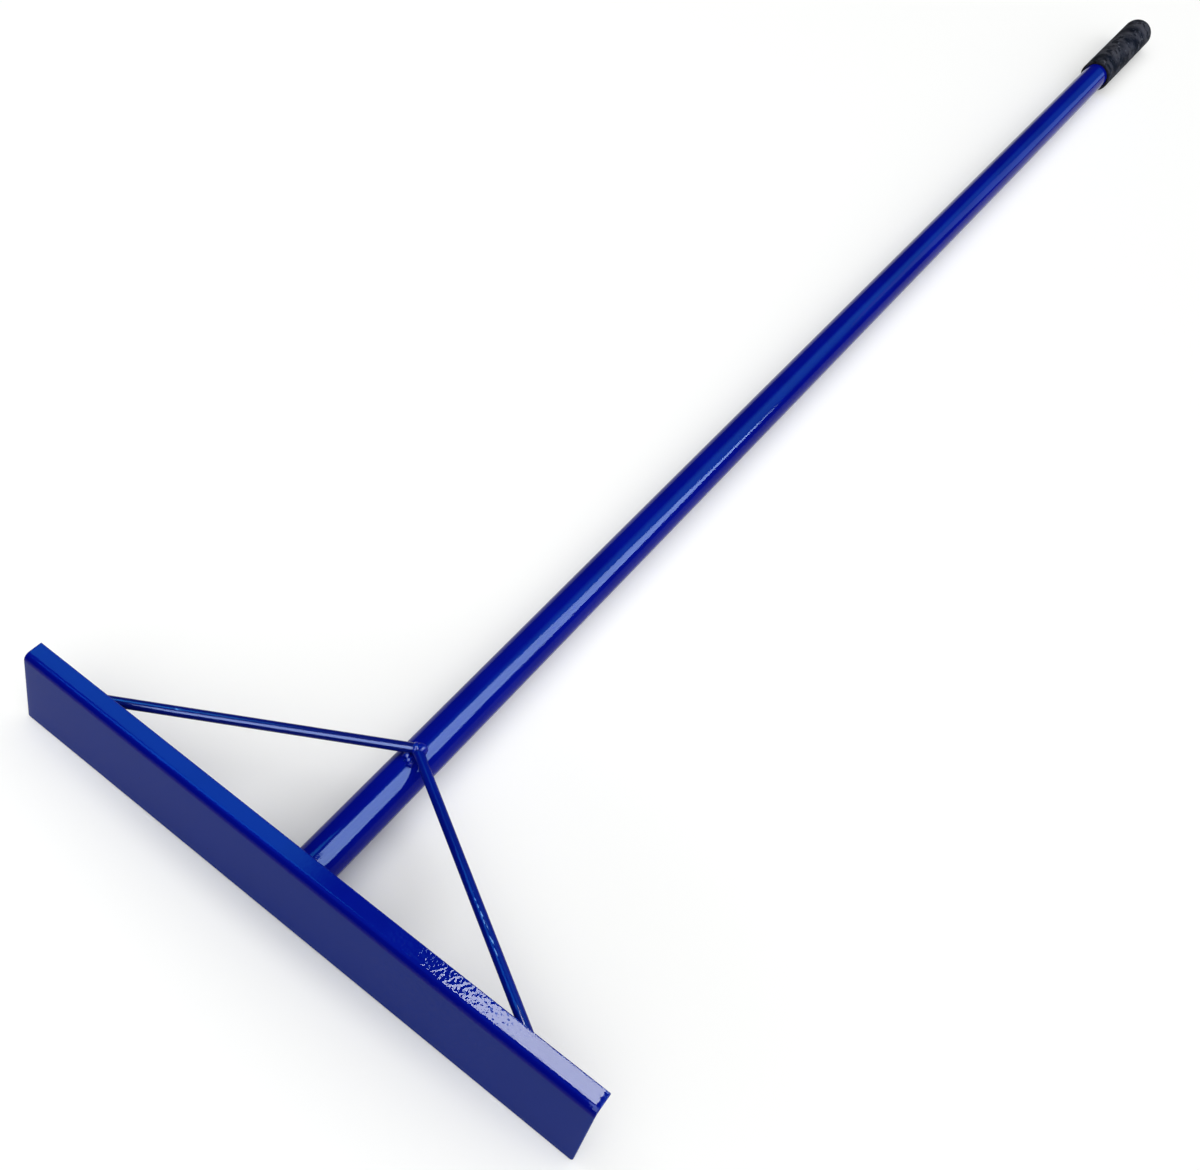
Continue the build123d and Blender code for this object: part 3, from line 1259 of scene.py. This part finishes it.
@dataclass(frozen=True)
class PhotoCamera:
    """Camera at the photograph's viewpoint."""

    place: Triple = (0.29838, -1.04272, 0.81226)
    azimuth: float = 27.469
    elevation: float = 51.242
    roll: float = 10.777
    lens: float = 36.893
    sensor: float = 36.0
    nearest: float = 0.01
    farthest: float = 200.0

    def build(self) -> None:
        """Put the camera into the scene and look through it."""
        turn, drop, lean = (math.radians(v) for v in (self.azimuth, self.elevation, self.roll))
        ahead = Vector((-math.sin(turn) * math.cos(drop), math.cos(turn) * math.cos(drop), -math.sin(drop)))
        level = Vector((math.cos(turn), math.sin(turn), 0.0))
        right = level * math.cos(lean) + level.cross(ahead) * math.sin(lean)
        up = right.cross(ahead)
        data = bpy.data.cameras.new("photo_camera")
        data.lens = self.lens
        data.sensor_fit = "HORIZONTAL"
        data.sensor_width = self.sensor
        data.clip_start = self.nearest
        data.clip_end = self.farthest
        camera = bpy.data.objects.new("photo_camera", data)
        turned_view = Matrix((right, up, -ahead)).transposed().to_4x4()
        camera.matrix_world = Matrix.Translation(self.place) @ turned_view
        bpy.context.scene.collection.objects.link(camera)
        bpy.context.scene.camera = camera


def level_sheet(
    name: str, outline: Sequence[Pair], height: float, material: bpy.types.Material
) -> bpy.types.Object:
    """Lay a flat, level sheet.

    Args:
        name: Name of the sheet.
        outline: X and Y of its corners.
        height: Its height.
        material: Its material.

    Returns:
        The sheet.
    """
    mesh = bpy.data.meshes.new(name)
    mesh.from_pydata([(x, y, height) for x, y in outline], [], [tuple(range(len(outline)))])
    mesh.materials.append(material)
    return link_piece(name, mesh)


@dataclass(frozen=True)
class GlowPanel:
    """A flat glowing panel that shows in the gloss and nowhere else.

    A panel may rise and fall along X, between the four places of its fade. It may also dim along Y, from the
    first place of dim to the second, down to the share that is its third number.
    """

    name: str
    height: float
    radiance: float
    colour: Colour
    outline: tuple[Pair, ...]
    fade: tuple[float, float, float, float] | None = None
    dim: Triple = (0.0, 1.0, 1.0)

    def strength(self, graph: Graph) -> Any:
        """Radiance of the panel over its surface.

        Args:
            graph: The panel material's graph.

        Returns:
            The radiance, as a number or a socket.
        """
        if self.fade is None:
            return self.radiance
        axes = graph.axes(graph.place)
        start, full, last, end = self.fade
        near, far, share = self.dim
        rise = graph.ramp(axes["X"], start, full, 0.0, self.radiance)
        fall = graph.ramp(axes["X"], last, end, 1.0, 0.0)
        distance = graph.ramp(axes["Y"], near, far, 1.0, share)
        return graph.math("MULTIPLY", graph.math("MULTIPLY", rise, fall), distance)

    def build(self) -> None:
        """Hang the panel level over the floor."""
        material, graph = start_material(self.name)
        inputs = {"Color": self.colour, "Strength": self.strength(graph)}
        graph.show(graph.add("ShaderNodeEmission", inputs).outputs[0])
        panel = level_sheet(self.name, self.outline, self.height, material)
        panel.visible_camera = False
        panel.visible_diffuse = False
        panel.visible_shadow = False


def hang(data: bpy.types.Light, place: Triple, ray: Vector) -> bpy.types.Object:
    """Hang a lamp that stays out of the gloss.

    Args:
        data: The lamp's light.
        place: Where it hangs.
        ray: The way it shines.

    Returns:
        The lamp.
    """
    lamp = bpy.data.objects.new(data.name, data)
    lamp.matrix_world = Matrix.Translation(place) @ ray.to_track_quat("-Z", "Y").to_matrix().to_4x4()
    lamp.visible_glossy = False
    bpy.context.scene.collection.objects.link(lamp)
    return lamp


@dataclass(frozen=True)
class SkyLamp:
    """Even light from a wide part of the ceiling. At level 1, a white surface that faces it is just white."""

    name: str
    source: Triple
    spread: float
    level: float
    colour: Triple

    def build(self) -> None:
        """Hang the lamp."""
        data = bpy.data.lights.new(self.name, "SUN")
        data.angle = math.radians(self.spread)
        data.energy = self.level * math.pi
        data.color = self.colour
        hang(data, (0.0, 0.0, 0.0), -Vector(self.source))


@dataclass(frozen=True)
class SideLamp:
    """A small soft lamp beside the blade, which gives the handle its shadow there."""

    name: str
    place: Triple
    aim: Triple
    size: float
    level: float
    colour: Triple

    def build(self) -> None:
        """Hang the lamp, turn it to its aim and set the energy that gives its level there, on the floor."""
        ray = Vector(self.aim) - Vector(self.place)
        data = bpy.data.lights.new(self.name, "AREA")
        data.size = self.size
        data.color = self.colour
        data.energy = self.level * math.pi**2 * ray.length**3 / -ray.z
        hang(data, self.place, ray).visible_camera = False


@dataclass(frozen=True)
class PaintedFloorShadow:
    """A soft oval on the floor where it whitens less, a painted shadow round the tool."""

    middle: Triple
    reach: Triple
    inner: float
    outer: float
    least: float = 0.0

    def share(self, graph: Graph) -> Socket:
        """Return the share of the whitening, from the least inside the oval to all of it outside."""
        oval = graph.mapped(graph.place, "TEXTURE", Location=self.middle, Scale=self.reach)
        return graph.ramp(graph.vector("LENGTH", oval)["Value"], self.inner, self.outer, self.least, 1.0)


@dataclass
class Studio:
    """Pale floor, soft lights and surroundings."""

    floor_size: float = 60.0
    floor_drop: float = 0.0002
    floor_colour: Colour = (0.725, 0.728, 0.715, 1.0)
    floor_glow: float = 0.22
    # Painted shadow: the floor's whitening is cut in soft ovals round the blade and the braces
    painted_shadows: tuple[PaintedFloorShadow, ...] = (
        PaintedFloorShadow((0.0, -0.835, 0.0), (0.3, 0.035, 1.0), inner=0.1, outer=1.0),
        PaintedFloorShadow((0.01, -0.785, 0.0), (0.09, 0.065, 1.0), inner=0.5, outer=1.1, least=0.12),
        PaintedFloorShadow((0.03, -0.74, 0.0), (0.28, 0.17, 1.0), inner=0.5, outer=1.5, least=0.74),
    )
    horizon: Colour = (0.35, 0.36, 0.38, 1.0)
    overhead: Colour = (0.04, 0.044, 0.052, 1.0)
    horizon_top: float = 0.005
    overhead_start: float = 0.045
    panels: tuple[GlowPanel, ...] = (
        GlowPanel(
            "main_panel",
            height=1.8,
            radiance=58.0,
            colour=(0.4, 0.61, 1.0, 1.0),
            outline=(
                (-0.22, -0.22), (-0.26, -0.29), (1.4, -0.27), (2.9, 0.2), (2.6, 0.9), (3.1, 1.6),
                (3.3, 2.3), (2.73, 3.1), (1.78, 1.95), (0.95, 1.0), (0.8, 0.76), (0.32, 0.36),
            ),
        ),
        GlowPanel(
            "front_panel",
            height=0.45,
            radiance=112.0,
            colour=(0.87, 0.935, 1.0, 1.0),
            outline=((0.025, -0.8), (0.245, -0.8), (0.245, -0.684), (0.063, -0.684)),
        ),
        GlowPanel(
            "crown_panel",
            height=4.0,
            radiance=34.0,
            colour=(0.47, 0.63, 1.0, 1.0),
            outline=((0.03, -1.35), (2.6, -1.35), (3.2, -8.0), (0.1, -8.0), (0.03, -3.3)),
        ),
        GlowPanel(
            "far_panel",
            height=0.75,
            radiance=4.5,
            colour=(0.25, 0.47, 1.0, 1.0),
            outline=(
                (0.35, 0.95), (0.62, 1.05), (0.95, 1.75), (1.7, 3.0), (4.6, 8.3),
                (3.6, 8.8), (1.2, 3.75), (0.72, 2.4), (0.4, 1.6),
            ),
        ),
        GlowPanel(
            "ceiling_glow",
            height=1.82,
            radiance=12.0,
            colour=(0.08, 0.46, 1.0, 1.0),
            outline=((-0.8, -0.29), (3.4, -0.29), (3.4, 7.0), (-0.8, 7.0)),
            fade=(-0.65, 0.4, 2.0, 3.3),
            dim=(0.3, 4.0, 0.12),
        ),
        GlowPanel(
            "bar_glow",
            height=1.83,
            radiance=28.0,
            colour=(0.02, 0.32, 1.0, 1.0),
            outline=((-1.6, -1.5), (-1.15, -1.5), (-0.4, -0.56), (-0.95, -0.56)),
        ),
        GlowPanel(
            "left_glow",
            height=1.81,
            radiance=17.0,
            colour=(0.05, 0.45, 1.0, 1.0),
            outline=((-3.0, -0.55), (-0.55, -0.55), (-0.55, -0.17), (-3.0, -0.17)),
            fade=(-3.0, -2.4, -0.7, -0.58),
        ),
    )
    lamps: tuple[SkyLamp | SideLamp, ...] = (
        SkyLamp("key_lamp", source=(0.45, -0.03, 1.0), spread=128.0, level=1.1, colour=(1.0, 1.0, 1.0)),
        SideLamp(
            "side_lamp",
            place=(-0.62, -0.62, 0.98),
            aim=(0.0, -0.7, 0.0),
            size=0.7,
            level=0.12,
            colour=(1.0, 0.98, 0.95),
        ),
    )

    def floor(self) -> None:
        """Lay the floor, which keeps the tool's shadow and whitens less in soft ovals round the blade and the
        braces, a painted shadow over the real one.
        """
        half = self.floor_size / 2
        material, graph = start_material("studio_floor")
        whiter: Any = self.floor_glow
        for shade in self.painted_shadows:
            whiter = graph.math("MULTIPLY", whiter, shade.share(graph))
        rays = graph.add("ShaderNodeLightPath").outputs
        seen = graph.math("MAXIMUM", rays["Is Camera Ray"], rays["Is Glossy Ray"])
        seen = graph.math("MAXIMUM", seen, rays["Is Transmission Ray"])
        matt = graph.add("ShaderNodeBsdfDiffuse", {"Color": self.floor_colour}).outputs[0]
        inputs = {"Color": WHITE, "Strength": graph.math("MULTIPLY", seen, whiter)}
        glow = graph.add("ShaderNodeEmission", inputs).outputs[0]
        graph.show(graph.add("ShaderNodeAddShader", {0: matt, 1: glow}).outputs[0])
        outline = ((-half, -half), (half, -half), (half, half), (-half, half))
        level_sheet("studio_floor", outline, -self.floor_drop, material)

    def surroundings(self) -> None:
        """Make the room pale at the horizon and dim above."""
        world = bpy.data.worlds.new("studio_room")
        world.use_nodes = True
        graph = Graph(world.node_tree)
        way = graph.add("ShaderNodeTexCoord").outputs["Generated"]
        rise = graph.ramp(graph.axes(way)["Z"], self.horizon_top, self.overhead_start)
        colour = graph.blend(rise, self.horizon, self.overhead)
        graph.feed(world.node_tree.nodes["Background"].inputs["Color"], colour)
        bpy.context.scene.world = world

    def build(self) -> None:
        """Set up the studio."""
        self.floor()
        self.surroundings()
        for item in (*self.panels, *self.lamps):
            item.build()
        bpy.context.scene.view_settings.view_transform = "Standard"
        log.info("studio: %d panels, %d lamps", len(self.panels), len(self.lamps))


def main() -> None:
    """Build the pieces in order, then the studio and the camera."""
    logging.basicConfig(level=logging.INFO, format="%(name)s: %(message)s")
    tool = Spreader()
    SteelWork(tool).build()
    weld_finish = GlossEnamel(index=1.2, peel_scale=700.0, scuff_share=0.2).material("weld_enamel")
    Welds(tool).build(weld_finish)
    TipKnob(tool).build(weld_finish)
    HandGrip(tool).build(GripRubber().material("grip_rubber_worn"))
    Studio().build()
    PhotoCamera().build()


if __name__ == "__main__":
    main()
